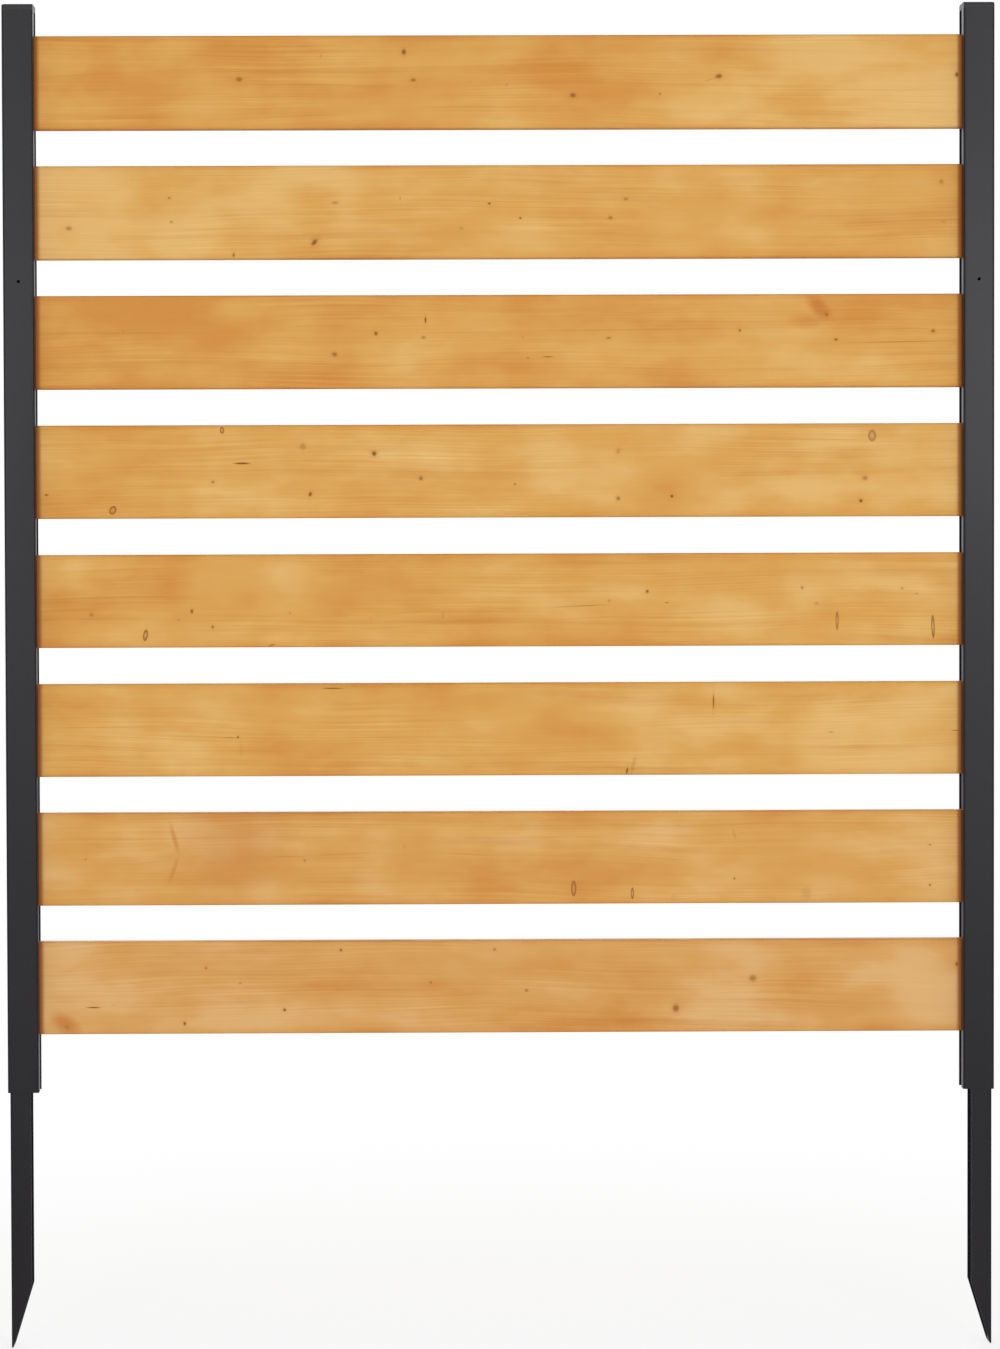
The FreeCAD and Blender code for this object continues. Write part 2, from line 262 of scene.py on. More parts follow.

# %% [markdown]
# ## Stained softwood
# The boards are the piece that the eye goes to. Softwood takes stain unevenly, so the honey colour drifts
# between pale and orange in soft patches. Over that run the growth lines, long and thin along the board,
# and they bend round the knots. Each mark below was picked in a photograph of real boards and then
# rounded: how far along it lies from the middle, how far above the lower edge, its half width and half
# height, its tilt in degrees and its strength, all lengths in millimetres. Most knots are soft brown spots,
# a few have come loose and show a dark rim, and the strongest growth lines are listed too. A knot goes
# right through a board, so no mark looks at depth.

# %% Knots and other marks of each board
KNOTS = {
    1: [
        (-91, 74, 2.3, 3, 0, 0.75), (-250, 48, 3.5, 2.5, 0, 0.6), (-82, 47, 3, 1.9, 0, 0.6),
        (-171, 70, 0.9, 1.7, -30, 0.35), (8, 42, 1.2, 1.7, 0, 0.3), (72, 32, 3.5, 2.5, 0, 0.65),
        (213, 50, 3.5, 2.5, 10, 0.7), (156, 33, 1.1, 1.2, 0, 0.6), (443, 51, 2.1, 2.5, 0, 0.75),
    ],
    2: [
        (-415, 30, 3.5, 2.3, 0, 0.5), (-318, 59, 1.3, 1.2, 0, 0.6), (-316, 36, 1.5, 1.3, 0, 0.5),
        (-256, 4, 1.2, 2.1, 0, 0.75), (-178, 16, 2.1, 3.5, -40, 0.65), (-178, 17, 9, 7, 0, 0.12),
        (-158, 54, 3.5, 1.7, 0, 0.45), (-95, 58, 0.9, 1.5, 0, 0.45), (-36, 29, 1.9, 1.9, 0, 0.35),
        (-9, 53, 1.2, 1.1, 0, 0.85), (21, 39, 1.3, 1, 0, 0.8), (108, 39, 2.5, 1.9, 0, 0.55),
        (123, 57, 2.5, 1.7, 0, 0.5), (428, 73, 2.3, 2.5, 0, 0.45), (430, 34, 2.1, 1.2, 0, 0.35),
    ],
    3: [
        (-119, 53, 1.9, 2.3, 20, 0.7), (-159, 33, 3, 2.5, -15, 0.6), (-73, 49, 2.3, 1.7, 0, 0.5),
        (-71, 66, 0.9, 3, 0, 0.9), (106, 48, 2.5, 1.3, 0, 0.55), (233, 55, 1.4, 1.4, 0, 0.7),
        (326, 46, 2.1, 1.4, 0, 0.7), (420, 54, 2.5, 2.1, 0, 0.6), (23, 49, 1.5, 1.2, 0, 0.25),
        (28, 29, 1.8, 0.8, 0, 0.5), (-363, 56, 1.2, 1.2, 0, 0.3), (317, 70, 2.5, 1.9, -50, 0.5),
    ],
    4: [
        (-190, 69, 3.5, 4, 0, 0.4), (-121, 62, 2.3, 2.5, 0, 0.8), (-277, 35, 2.1, 1.7, 0, 0.5),
        (-183, 23, 1.7, 2.3, -20, 0.8), (-438, 23, 1.7, 1, 0, 0.8), (-76, 38, 2.3, 2.3, 0, 0.6),
        (15, 32, 1.1, 1.1, 0, 0.6), (115, 64, 2.5, 3.5, 0, 0.35), (115, 18, 2.3, 2.3, 0, 0.6),
        (167, 20, 1.4, 1.4, 0, 0.95), (354, 37, 3, 2.5, 0, 0.5), (350, 15, 1.7, 1.7, 0, 0.85),
    ],
    5: [
        (-395, 32, 2.5, 2.1, 0, 0.45), (-298, 35, 1.5, 2.1, 0, 0.75), (-278, 20, 1.5, 1.9, 0, 0.6),
        (-311, 27, 2.5, 1.2, 0, 0.3), (-203, 33, 1.5, 1.5, 0, 0.35), (-221, 2, 4, 1.2, 20, 0.5),
        (-125, 27, 0.8, 2.1, 0, 0.3), (-55, 31, 0.9, 5, 0, 0.3), (143, 53, 1.5, 1.7, 0, 0.75),
        (106, 44, 1.9, 1.4, 0, 0.4), (162, 42, 1.9, 0.8, 0, 0.55), (293, 56, 1.5, 1.9, 0, 0.5),
        (307, 41, 2.3, 1.5, 0, 0.35), (390, 55, 1.4, 1.5, 0, 0.45), (404, 50, 1.7, 0.8, 0, 0.45),
    ],
    6: [
        (-254, 38, 1, 1, 0, 0.85), (-251, 27, 1.5, 8, 0, 0.18), (207, 71, 0.8, 7, 0, 0.75),
        (123, 4, 0.9, 3.5, -10, 0.8), (129, 9, 2.1, 10, -15, 0.3),
    ],
    7: [
        (-190, 43, 1.2, 1.2, 0, 0.5), (-402, 45, 1.3, 1.2, 0, 0.4), (-93, 56, 1.5, 2.3, 0, 0.25),
        (227, 24, 0.9, 0.9, 0, 0.8), (417, 56, 0.9, 1, 0, 0.6), (417, 17, 1.1, 1.1, 0, 0.7),
        (227, 67, 1.6, 6, 15, 0.25), (297, 10, 6, 7, 0, 0.25), (168, 6, 2.3, 4, 0, 0.2),
    ],
    8: [
        (-155, 81, 1.4, 1.6, 0, 0.7), (-6, 81, 1.9, 1.7, 0, 0.5), (-286, 64, 1.7, 1.4, 0, 0.5),
        (-253, 49, 1.4, 1.2, 0, 0.4), (-68, 49, 1.4, 1.4, 0, 0.55), (-210, 23, 1.5, 1.5, 0, 0.8),
        (-307, 10, 1.4, 1.9, 0, 0.8), (-421, 7, 3, 2.2, -30, 0.35), (170, 23, 3.5, 4, 0, 0.65),
        (245, 52, 4, 3.5, 0, 0.55), (25, 41, 1.9, 1.7, 0, 0.55), (443, 65, 1.5, 2.1, 0, 0.7),
    ],
}
RIMMED_KNOTS = {
    4: [
        (-268, 85, 1.9, 3, 0, 0.7), (-374, 8, 3, 4, -25, 0.66), (361, 78, 3.5, 5, 0, 0.55),
    ],
    5: [
        (-343, 12, 2.1, 5, -8, 0.7), (327, 24, 1.4, 8, 0, 0.62), (420, 18, 1.5, 10, 2, 0.7),
    ],
    7: [
        (71, 15, 2.3, 7, 0, 0.58), (128, 10, 1.4, 5, 0, 0.66),
    ],
}
GROWTH_LINES = {
    1: [
        (-401, 52.5, 47, 0.7, 2.5, 0.26), (-309, 57, 50, 0.6, 3, 0.19), (-368, 62, 79, 0.5, 1.5, 0.12),
        (311, 41, 50, 0.6, -7, 0.12), (395, 36, 27, 0.5, 9.5, 0.14), (204, 46.5, 8, 0.8, 18, 0.3),
    ],
    2: [
        (-356, 53, 92, 0.5, -0.5, 0.12), (-368, 32.5, 47, 0.5, 4, 0.11), (-236, 46, 28, 0.6, 6, 0.12),
        (155, 48, 29, 0.8, -6, 0.17), (298, 61, 47, 0.7, -7, 0.12), (326, 44.5, 25, 0.6, -10, 0.14),
    ],
    3: [
        (-368, 54, 81, 1, 0.2, 0.28), (-172, 60.5, 46, 1.5, 0.5, 0.19), (-52, 53.5, 64, 0.7, 0.8, 0.19),
        (136, 56, 152, 0.7, 0.6, 0.3), (385, 43.5, 62, 0.7, 0.8, 0.46), (375, 56, 62, 0.6, 0.3, 0.28),
        (-341, 30, 103, 0.6, -0.5, 0.16), (-392, 16, 41, 0.5, 0, 0.12), (-186, 26, 26, 2.1, -8, 0.1),
        (54, 38, 64, 0.6, 2.5, 0.11), (47, 30, 6, 0.6, 0, 0.85),
    ],
    4: [
        (-249, 53, 9, 1.1, 0, 0.95),
    ],
    5: [
        (-368, 73.5, 79, 0.7, 0, 0.11), (-311, 37, 93, 0.5, 0, 0.14), (-376, 27.5, 70, 0.7, -0.7, 0.15),
        (-261, 15.5, 74, 0.5, 0.5, 0.14), (-155, 30, 42, 0.6, 2, 0.17), (-81, 34, 34, 0.6, 5, 0.26),
        (-124, 17.5, 56, 0.6, 3.5, 0.2), (-48, 24, 58, 0.5, 5.5, 0.14), (5, 36.5, 16, 0.6, -1, 0.28),
        (77, 39, 35, 0.7, 2.5, 0.46), (19, 23.5, 29, 0.6, 4.5, 0.15), (95, 28, 50, 0.6, 2.5, 0.25),
        (203, 32.5, 60, 0.6, 1.9, 0.22), (280, 51, 95, 0.6, 2, 0.17), (356, 41, 91, 0.6, 1.4, 0.22),
        (47, 14, 0.6, 14, 0, 0.15),
    ],
    6: [
        (-162, 85, 12, 0.8, 0, 0.8), (-378, 48, 68, 0.6, 0.3, 0.31), (-341, 20, 96, 0.6, 0.2, 0.21),
        (129, 19.5, 319, 0.7, -0.1, 0.2), (-262, 37.5, 9, 0.5, 0, 0.5), (321, 41, 4, 0.6, 0, 0.6),
        (442, 42, 5, 0.6, 0, 0.65),
    ],
    7: [
        (-341, 42, 21, 0.9, 3, 0.25), (-207, 47, 18, 0.8, 0, 0.31), (-149, 49.5, 42, 0.9, 3.5, 0.22),
        (-38, 49, 52, 1.1, -3.5, 0.22), (87, 45, 60, 0.7, -2.6, 0.12),
    ],
    8: [
        (-395, 26, 8, 0.8, 0, 0.85), (-376, 28, 5, 0.6, 8, 0.3), (97, 58.5, 48, 3, 1.5, 0.1),
        (127, 52.5, 25, 1.9, -6, 0.09),
    ],
}
# Reddish wood, where a branch lay nearly level in the trunk and the saw ran along it.
FLAMES = {
    3: [
        (310, 77, 16, 8, -47, 0.7), (299, 63, 17, 7, 3, 0.3),
    ],
    7: [
        (-316, 65, 16, 2.5, -75, 0.45), (-317, 34, 14, 2.4, 71, 0.4), (-258, 58, 60, 55, 0, 0.35),
    ],
    8: [
        (-422, 9, 17, 9, -36, 0.6),
    ],
}
# How orange each board took the stain, from 0 to 1, at its left end, in the middle and at its right end.
STAIN = {
    1: (0.65, 0.65, 0.1), 2: (0.1, 0.5, 0.55), 3: (0.9, 0.55, 0.6), 4: (0.55, 0.35, 0.3),
    5: (0.55, 0.55, 0.35), 6: (0.5, 0.5, 0.1), 7: (0.35, 0.6, 0.4), 8: (0.25, 0.55, 0.3),
}
# The lowest boards are a little duller and pinker than the rest.
DULLNESS = {7: 0.5, 8: 1.0}
print("knots on each board:", {number: len(knots) for number, knots in KNOTS.items()})

# %% [markdown]
# A mark is an ellipse. A Mapping node of the Texture kind moves a mark's centre to zero, turns it level and
# divides by its size, so the length of what comes out is 1 on the mark's rim, under 1 inside it and over 1
# outside. One number then makes the dark knot, the rim of a loose one, and the warm ring of harder wood
# round it. A growth line is only a very flat ellipse.

# %% How far a place lies from a mark
ANY_DEPTH = 1000.0
MULTIPLY = {"data_type": "RGBA", "blend_type": "MULTIPLY"}


def from_mark(place, foot, mark):
    along, above, half_width, half_height, tilt = mark[:5]
    values = {
        "Vector": place,
        "Location": (along * MILLIMETRE, 0.0, foot + above * MILLIMETRE),
        "Rotation": (0.0, -math.radians(tilt), 0.0),
        "Scale": (half_width * MILLIMETRE, ANY_DEPTH, half_height * MILLIMETRE),
    }
    centred = place.node("ShaderNodeMapping", {"vector_type": "TEXTURE"}, values)
    return centred.node("ShaderNodeVectorMath", {"operation": "LENGTH"}, {0: centred}, "Value")


def marks_of(number, place, foot):
    """How strongly a board's marks show at a place, and how strongly the warm rings round its knots do."""
    dark, warm = 0.0, 0.0
    for mark in KNOTS[number]:
        distance = from_mark(place, foot, mark)
        dark = distance.rise(1.5, 0.3) * mark[-1] + dark
        warm = distance.rise(3.2, 0.9) * mark[-1] + warm
    for mark in RIMMED_KNOTS.get(number, ()):
        distance = from_mark(place, foot, mark)
        rim = distance.rise(1.3, 1.0) * distance.rise(0.2, 0.95, 0.45, 1.0)
        dark = rim * mark[-1] + dark
    for mark in GROWTH_LINES[number]:
        dark = from_mark(place, foot, mark).rise(1.4, 0.2) * mark[-1] + dark
    return dark, warm


mark_lists = [marks for table in (KNOTS, RIMMED_KNOTS, GROWTH_LINES) for marks in table.values()]
print("marks to draw:", sum(len(marks) for marks in mark_lists))

# %% [markdown]
# How orange the stain is at a place comes from four things. One cloud gives soft patches about as long as a
# hand is wide, and another gives upright bands of half that width. On top of them each board has its own
# drift from end to end, and a little more stain shows near its long edges.

# %% How orange a place is
HALF_HEIGHT = BOARD_HEIGHT / 2
PATCH_SQUEEZE, BAND_SQUEEZE = (9.0, 1.0, 21.0), (18.0, 1.0, 3.0)
STAIN_RIM = 0.009


def shift_of(number):
    """Moves the clouds on for each board, so that no two boards are alike."""
    return number * 1.7, 0.0, number * 0.9


def stain_of(number, place, x, from_middle):
    patches = cloud(stretched(place, PATCH_SQUEEZE, shift_of(number)), 1.0, 3.0, 0.5)
    bands = cloud(stretched(place, BAND_SQUEEZE, shift_of(number)), 1.0, 1.0, 0.4)
    left, middle, right = STAIN[number]
    ends = x.rise(-SHOWN_END, 0.0, left, middle) + x.rise(0.0, SHOWN_END, 0.0, right - middle)
    rim = from_middle.rise(HALF_HEIGHT - STAIN_RIM, HALF_HEIGHT, 0.0, 0.22)
    return (patches - 0.5) * 2.1 + (bands - 0.5) * 0.5 + ends + rim


print("the clouds of board 8 are moved by", tuple(round(v, 1) for v in shift_of(8)))

# %% [markdown]
# The growth lines are a cloud stretched until it is about a hundred times longer than it is high. Before it
# is stretched, the height of a place is moved a little by a second, broad cloud, so that the lines wander,
# and lifted near each knot, so that they part round it. A third cloud says where they are clear and where
# they almost vanish, as they do where the saw ran along them.

# %% The growth lines at a place
WANDER_SQUEEZE, CLARITY_SQUEEZE = (2.2, 1.0, 9.0), (5.0, 1.0, 24.0)
COARSE_SQUEEZE, FINE_SQUEEZE = (1.4, 1.0, 95.0), (5.0, 1.0, 620.0)
WANDER, PART_ROUND_KNOTS = 0.03, 0.002


def growth_lines_of(number, place, x, above, warm):
    """The coarse lines, the fine lines and how clear both are."""
    shift = shift_of(number)
    wander = cloud(stretched(place, WANDER_SQUEEZE, shift), 1.0, 2.0)
    height = above + wander * WANDER + warm * PART_ROUND_KNOTS
    lines_at = place.node("ShaderNodeCombineXYZ", {}, {"X": x + shift[0], "Y": 0.0, "Z": height})
    coarse = cloud(stretched(lines_at, COARSE_SQUEEZE), 1.0, 2.0, 0.4).rise(0.5, 0.72)
    fine = cloud(stretched(lines_at, FINE_SQUEEZE), 1.0, 2.0, 0.6)
    clarity = cloud(stretched(place, CLARITY_SQUEEZE, shift), 1.0, 1.0).rise(0.38, 0.62, 0.15, 0.64)
    return coarse, fine, clarity


print("a fine line is about", round(1000 / FINE_SQUEEZE[2], 1), "mm high")

# %% [markdown]
# The finish lays one over the other: first the stained wood, then the warm and reddish wood round the
# knots, then the growth lines, which darken what is under them, with painted shade along the long edges,
# then the knots themselves, and last painted shade on the ends of what shows of a board, beside the posts.

# %% The finish of one board
PALE, HONEY, ORANGE = (224, 179, 108), (216, 161, 82), (207, 141, 62)
KNOT_BROWN, RING_ORANGE = colour(122, 70, 6), colour(200, 122, 52)
# The second colour on the next line is painted shade, laid on the ends of each board beside the posts.
FLAME_RED, POST_SHADE_BROWN = colour(190, 106, 32), colour(172, 92, 36)
# How far from the top and bottom of a board the painted shade along its long edges starts and is full.
EDGE_SHADE_FROM, EDGE_SHADE_TO = 0.0025, 0.0004
# Where that painted shade starts and where it is strongest, counted inward from each post.
POST_SHADE_FROM, POST_SHADE_TO = 0.006, 0.0005


def board_tone(number, red, green, blue):
    """A wood colour, a little duller and pinker on the boards that are."""
    dull = DULLNESS.get(number, 0.0)
    return colour(red * (1 - 0.01 * dull), green * (1 - 0.02 * dull), blue * (1 + 0.07 * dull))


def stained_wood(number):
    material, shader, place = new_finish(f"stained_wood_{number}", Specular_IOR_Level=0.16)
    foot = boards[number][0].z
    axes = place.node("ShaderNodeSeparateXYZ", {}, {0: place})
    x = Flow(place.tree, axes.socket.node.outputs["X"])
    z = Flow(place.tree, axes.socket.node.outputs["Z"])
    from_middle = abs(z - (foot + HALF_HEIGHT))
    dark, warm = marks_of(number, place, foot)
    stain = stain_of(number, place, x, from_middle)
    coarse, fine, clarity = growth_lines_of(number, place, x, z - foot, warm)

    pale, honey, orange = (board_tone(number, *tone) for tone in (PALE, HONEY, ORANGE))
    base = stain.rise(0.0, 0.55).between(pale, honey)
    base = stain.rise(0.45, 1.1).between(base, orange)
    base = (warm * 0.4).rise(0.0, 1.0).between(base, RING_ORANGE)
    for flame in FLAMES.get(number, ()):
        redness = from_mark(place, foot, flame).rise(1.4, 0.2) * flame[-1]
        base = redness.between(base, FLAME_RED)

    # Painted shade along the long edges: a thin darker band near the top and the bottom of a board, added to
    # the growth lines.
    edge_shade = from_middle.rise(HALF_HEIGHT - EDGE_SHADE_FROM, HALF_HEIGHT - EDGE_SHADE_TO)
    darker = coarse * clarity * 0.2 + (fine - 0.5) * clarity + edge_shade * 0.12
    channels = {0: 1 - darker * 0.5, 1: 1 - darker, 2: 1 - darker * 1.4}
    lines = place.node("ShaderNodeCombineColor", {}, channels)
    base = place.node("ShaderNodeMix", MULTIPLY, {0: 1.0, 6: base, 7: lines}, 2)
    base = dark.rise(0.0, 1.0).between(base, KNOT_BROWN)
    # Painted shade: the wood turns darker towards each post, where a board goes in behind the post's front.
    ends = abs(x).rise(SHOWN_END - POST_SHADE_FROM, SHOWN_END - POST_SHADE_TO, 0.0, 0.9)
    base = ends.between(base, POST_SHADE_BROWN)
    wear(shader, place, base, fine.rise(0.3, 0.7, 0.5, 0.62), fine, 0.15, 0.0002)
    return material


# %% [markdown]
# ## Boards
# A board is a rectangle with rounded corners, drawn along a straight line. That is a rule, so Geometry
# Nodes make it: a Quadrilateral curve, Fillet Curve for the eased edges and Curve to Mesh for the length.
# One tree serves all eight boards, and each gets its own place and finish through the tree's inputs.

# %% Trees with named inputs, and how a piece is made from one
KINDS = {
    float: "NodeSocketFloat", int: "NodeSocketInt", tuple: "NodeSocketVector",
    bpy.types.Material: "NodeSocketMaterial", bpy.types.Object: "NodeSocketObject",
}


def new_tree(name, inputs):
    """A Geometry Nodes tree with these named inputs, and the flow of each of them."""
    tree = bpy.data.node_groups.new(name, "GeometryNodeTree")
    for label, kind in inputs.items():
        tree.interface.new_socket(name=label, in_out="INPUT", socket_type=KINDS[kind])
    tree.interface.new_socket(name="Piece", in_out="OUTPUT", socket_type="NodeSocketGeometry")
    entry = tree.nodes.new("NodeGroupInput")
    return tree, {label: Flow(tree, entry.outputs[label]) for label in inputs}


def end_tree(shape, finish):
    """Ends a tree the way a piece needs it: real geometry, in its finish."""
    real = shape.node("GeometryNodeRealizeInstances", {}, {0: shape})
    dressed = real.node("GeometryNodeSetMaterial", {}, {"Geometry": real, "Material": finish})
    dressed.node("NodeGroupOutput", {}, {"Piece": dressed})


def grow(name, tree, values):
    """Runs a tree with these inputs and keeps what it makes as a plain mesh."""
    seed = bpy.data.objects.new(f"{name}_seed", bpy.data.meshes.new(f"{name}_seed"))
    bpy.context.collection.objects.link(seed)
    modifier = seed.modifiers.new("tree", "NODES")
    modifier.node_group = tree
    for item in tree.interface.items_tree:
        if item.in_out == "INPUT":
            modifier[item.identifier] = values[item.name]
    scene_now = bpy.context.evaluated_depsgraph_get()
    mesh = bpy.data.meshes.new_from_object(seed.evaluated_get(scene_now))
    bpy.data.objects.remove(seed)
    mesh.name = name
    piece = bpy.data.objects.new(name, mesh)
    bpy.context.collection.objects.link(piece)
    print(name, "faces:", len(mesh.polygons))
    return piece


# %% The tree that makes a board
EASED_EDGE = 0.0015
POINTS_IN_AN_EDGE = 6


def board_tree():
    inputs = {"Length": float, "Depth": float, "Height": float, "Edge": float, "Middle": tuple}
    tree, given = new_tree("eased_board", inputs | {"Finish": bpy.types.Material})
    start = Flow(tree)
    sides = {0: given["Depth"], 1: given["Height"]}
    outline = start.node("GeometryNodeCurvePrimitiveQuadrilateral", {}, sides)
    eased = outline.node("GeometryNodeFilletCurve", {}, {"Curve": outline, "Radius": given["Edge"]})
    eased.socket.node.mode = "POLY"
    eased.socket.node.inputs["Count"].default_value = POINTS_IN_AN_EDGE
    reach = given["Length"] * 0.5
    tail = start.node("ShaderNodeCombineXYZ", {}, {"X": reach * -1.0})
    head = start.node("ShaderNodeCombineXYZ", {}, {"X": reach})
    line = start.node("GeometryNodeCurvePrimitiveLine", {}, {"Start": tail, "End": head})
    values = {"Curve": line, "Profile Curve": eased, "Fill Caps": True}
    board = line.node("GeometryNodeCurveToMesh", {}, values)
    placed = board.node("GeometryNodeTransform", {}, {"Geometry": board, "Translation": given["Middle"]})
    end_tree(placed, given["Finish"])
    return tree


eased_board = board_tree()
for number, (low, high) in boards.items():
    values = {"Length": BOARD_LENGTH, "Depth": BOARD_DEPTH, "Height": BOARD_HEIGHT, "Edge": EASED_EDGE}
    values |= {"Middle": (low + high) / 2, "Finish": stained_wood(number)}
    board = grow(f"board_{number}", eased_board, values)
    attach(board, "root")
    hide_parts(f"slat_{number}")
print("board box:", [round(v, 4) for v in board.dimensions])

# %% [markdown]
# ## Turned patterns
# A screw, a washer and the shank of a bolt are turned shapes: an outline that goes once round an axis. The
# outline is a list of distances from the axis and places along it, and each pair becomes a ring of points.
# A bolt head or a nut is the same idea with a hexagonal ring. The axis lies along Y, because that is how
# every fastener of the screen sits, and the seat of the head is at zero.

# %% Rings of points round the Y axis
SIDES_ROUND = 24


def hexagon_reach(flat, angle):
    """How far a hexagon reaches at that angle, where flat is from its middle to a flat side."""
    return flat / math.cos((angle + math.pi / 6) % (math.pi / 3) - math.pi / 6)


def ring_of_points(size, depth, hexagonal):
    points = []
    for step in range(SIDES_ROUND):
        angle = 2 * math.pi * (step + 0.5) / SIDES_ROUND
        reach = hexagon_reach(size, angle - math.pi / 2) if hexagonal else size
        points.append((reach * math.cos(angle), depth, reach * math.sin(angle)))
    return points


def turned(name, outline, hollow=False):
    """A mesh object from rings (size, depth, hexagonal), in millimetres, closed at both ends or hollow."""
    shape = bmesh.new()
    rings = []
    for size, depth, hexagonal in outline:
        points = ring_of_points(size * MILLIMETRE, depth * MILLIMETRE, hexagonal)
        rings.append([shape.verts.new(point) for point in points])
    pairs = list(zip(rings, rings[1:] + rings[:1])) if hollow else list(zip(rings, rings[1:]))
    for lower, upper in pairs:
        for step in range(SIDES_ROUND):
            after = (step + 1) % SIDES_ROUND
            shape.faces.new((lower[step], lower[after], upper[after], upper[step]))
    if not hollow:
        shape.faces.new(rings[0])
        shape.faces.new(rings[-1])
    bmesh.ops.recalc_face_normals(shape, faces=shape.faces)
    mesh = bpy.data.meshes.new(name)
    shape.to_mesh(mesh)
    shape.free()
    pattern = bpy.data.objects.new(name, mesh)
    bpy.context.collection.objects.link(pattern)
    return pattern


def thread(core, crest, start, finish, pitch):
    """The outline of a thread as ridges, one for each turn."""
    ridges = []
    for turn_number in range(round((finish - start) / pitch)):
        depth = start + turn_number * pitch
        ridges += [(core, depth, False), (crest, depth + pitch / 2, False)]
    return ridges


# %% [markdown]
# The slat screws are pan heads with a cross recess. A Boolean cuts the recess with a small cross of two
# wedges, the shape of the punch that presses it into a real screw. The wedges get shorter towards the
# bottom of the recess.

# %% Patterns for the screw, bolt, washer and nut
def wedge(shape, half_length, half_width, top, depth):
    """One arm pair of the punch: long at the top and short at the bottom."""
    points = []
    for share, height in ((1.0, top), (0.35, top - depth)):
        for x, z in ((-1, -1), (1, -1), (1, 1), (-1, 1)):
            points.append(shape.verts.new((x * half_length * share, height, z * half_width)))
    faces = [(3, 2, 1, 0), (4, 5, 6, 7)]
    faces += [(side, (side + 1) % 4, (side + 1) % 4 + 4, side + 4) for side in range(4)]
    for face in faces:
        shape.faces.new([points[corner] for corner in face])


def cross_recess(pattern, half_length, half_width, top, depth):
    """Cuts a cross into the top of a screw head."""
    for swap in (False, True):
        shape = bmesh.new()
        wedge(shape, half_length, half_width, top, depth)
        if swap:
            bmesh.ops.rotate(shape, verts=shape.verts, matrix=Matrix.Rotation(math.pi / 2, 3, "Y"))
        bmesh.ops.recalc_face_normals(shape, faces=shape.faces)
        mesh = bpy.data.meshes.new("punch")
        shape.to_mesh(mesh)
        shape.free()
        punch = bpy.data.objects.new("punch", mesh)
        bpy.context.collection.objects.link(punch)
        cut = pattern.modifiers.new("recess", "BOOLEAN")
        cut.object = punch
        cut.operation = "DIFFERENCE"
        done = bpy.data.meshes.new_from_object(pattern.evaluated_get(bpy.context.evaluated_depsgraph_get()))
        pattern.modifiers.remove(cut)
        pattern.data = done
        bpy.data.objects.remove(punch)
    return pattern


pan_head = [(4.0, 0.0, False), (4.0, 0.8, False), (3.8, 1.4, False), (3.2, 2.0, False)]
pan_head += [(2.2, 2.45, False), (1.0, 2.6, False)]
screw_tip = [(0.1, -12.0, False), (1.3, -10.2, False)]
screw_outline = screw_tip + thread(1.5, 2.0, -9.6, -1.6, 1.6) + [(2.0, -1.2, False), (2.0, 0.0, False)]
slat_screw = turned("slat_screw", screw_outline + pan_head)
cross_recess(slat_screw, 2.2 * MILLIMETRE, 0.45 * MILLIMETRE, 2.8 * MILLIMETRE, 1.9 * MILLIMETRE)

hexagon_head = [(5.0, 0.0, True), (5.0, 3.4, True), (4.6, 4.0, False), (3.6, 4.0, False), (3.4, 3.85, False)]
bolt_end = [(2.2, -12.0, False)]
bolt_outline = bolt_end + thread(2.6, 3.0, -11.6, -1.6, 1.0) + [(3.0, -1.3, False), (3.0, 0.0, False)]
stake_bolt = turned("stake_bolt", bolt_outline + hexagon_head)

washer_outline = [(3.3, 0.0, False), (5.9, 0.0, False), (6.0, 0.1, False), (6.0, 1.1, False)]
washer_outline += [(5.9, 1.2, False), (3.4, 1.2, False), (3.3, 1.1, False)]
flat_washer = turned("flat_washer", washer_outline, hollow=True)

nut_outline = [(3.3, 0.0, False), (4.7, 0.0, False), (5.0, -0.5, True), (5.0, -4.5, True), (4.7, -5.0, False)]
nut_outline += [(3.3, -5.0, False), (3.05, -4.7, False), (3.05, -0.3, False)]
stake_nut = turned("stake_nut", nut_outline, hollow=True)
for pattern in (slat_screw, stake_bolt, flat_washer, stake_nut):
    print(pattern.name, "faces:", len(pattern.data.polygons))

# %% [markdown]
# ## Rows of fasteners
# Every fastener of the screen stands in an upright row, so one tree makes them all: a Mesh Line gives the
# points and Instance on Points sets the pattern on each. A hand never leaves two screws turned alike, so
# each is spun by a random angle, with a fixed seed so that it is the same every time.

# %% The tree that repeats a fastener
def fastener_tree():
    inputs = {"Pattern": bpy.types.Object, "First": tuple, "Step": tuple, "Count": int}
    inputs |= {"Spin": float, "Seed": int, "Finish": bpy.types.Material}
    tree, given = new_tree("row_of_fasteners", inputs)
    line_values = {"Count": given["Count"], "Start Location": given["First"], "Offset": given["Step"]}
    points = Flow(tree).node("GeometryNodeMeshLine", {}, line_values)
    pattern = points.node("GeometryNodeObjectInfo", {}, {0: given["Pattern"]}, "Geometry")
    draw = {3: given["Spin"], "Seed": given["Seed"]}
    spin = points.node("FunctionNodeRandomValue", {"data_type": "FLOAT"}, draw, 1)
    turn_by = points.node("ShaderNodeCombineXYZ", {}, {"Y": spin})
    values = {"Points": points, "Instance": pattern, "Rotation": turn_by}
    end_tree(points.node("GeometryNodeInstanceOnPoints", {}, values), given["Finish"])
    return tree


row_of_fasteners = fastener_tree()
row_inputs = [item.name for item in row_of_fasteners.interface.items_tree if item.in_out == "INPUT"]
print("inputs of a row:", ", ".join(row_inputs))

# %% [markdown]
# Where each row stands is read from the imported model. The bolts of a stake are a pair, so the box of their
# node gives the lower one's place and the distance to the upper one.

# %% Make the rows on both sides
BOARDS_APART = (0.0, 0.0, BOARD_PITCH)
HALF_ACROSS_FLATS = 0.005


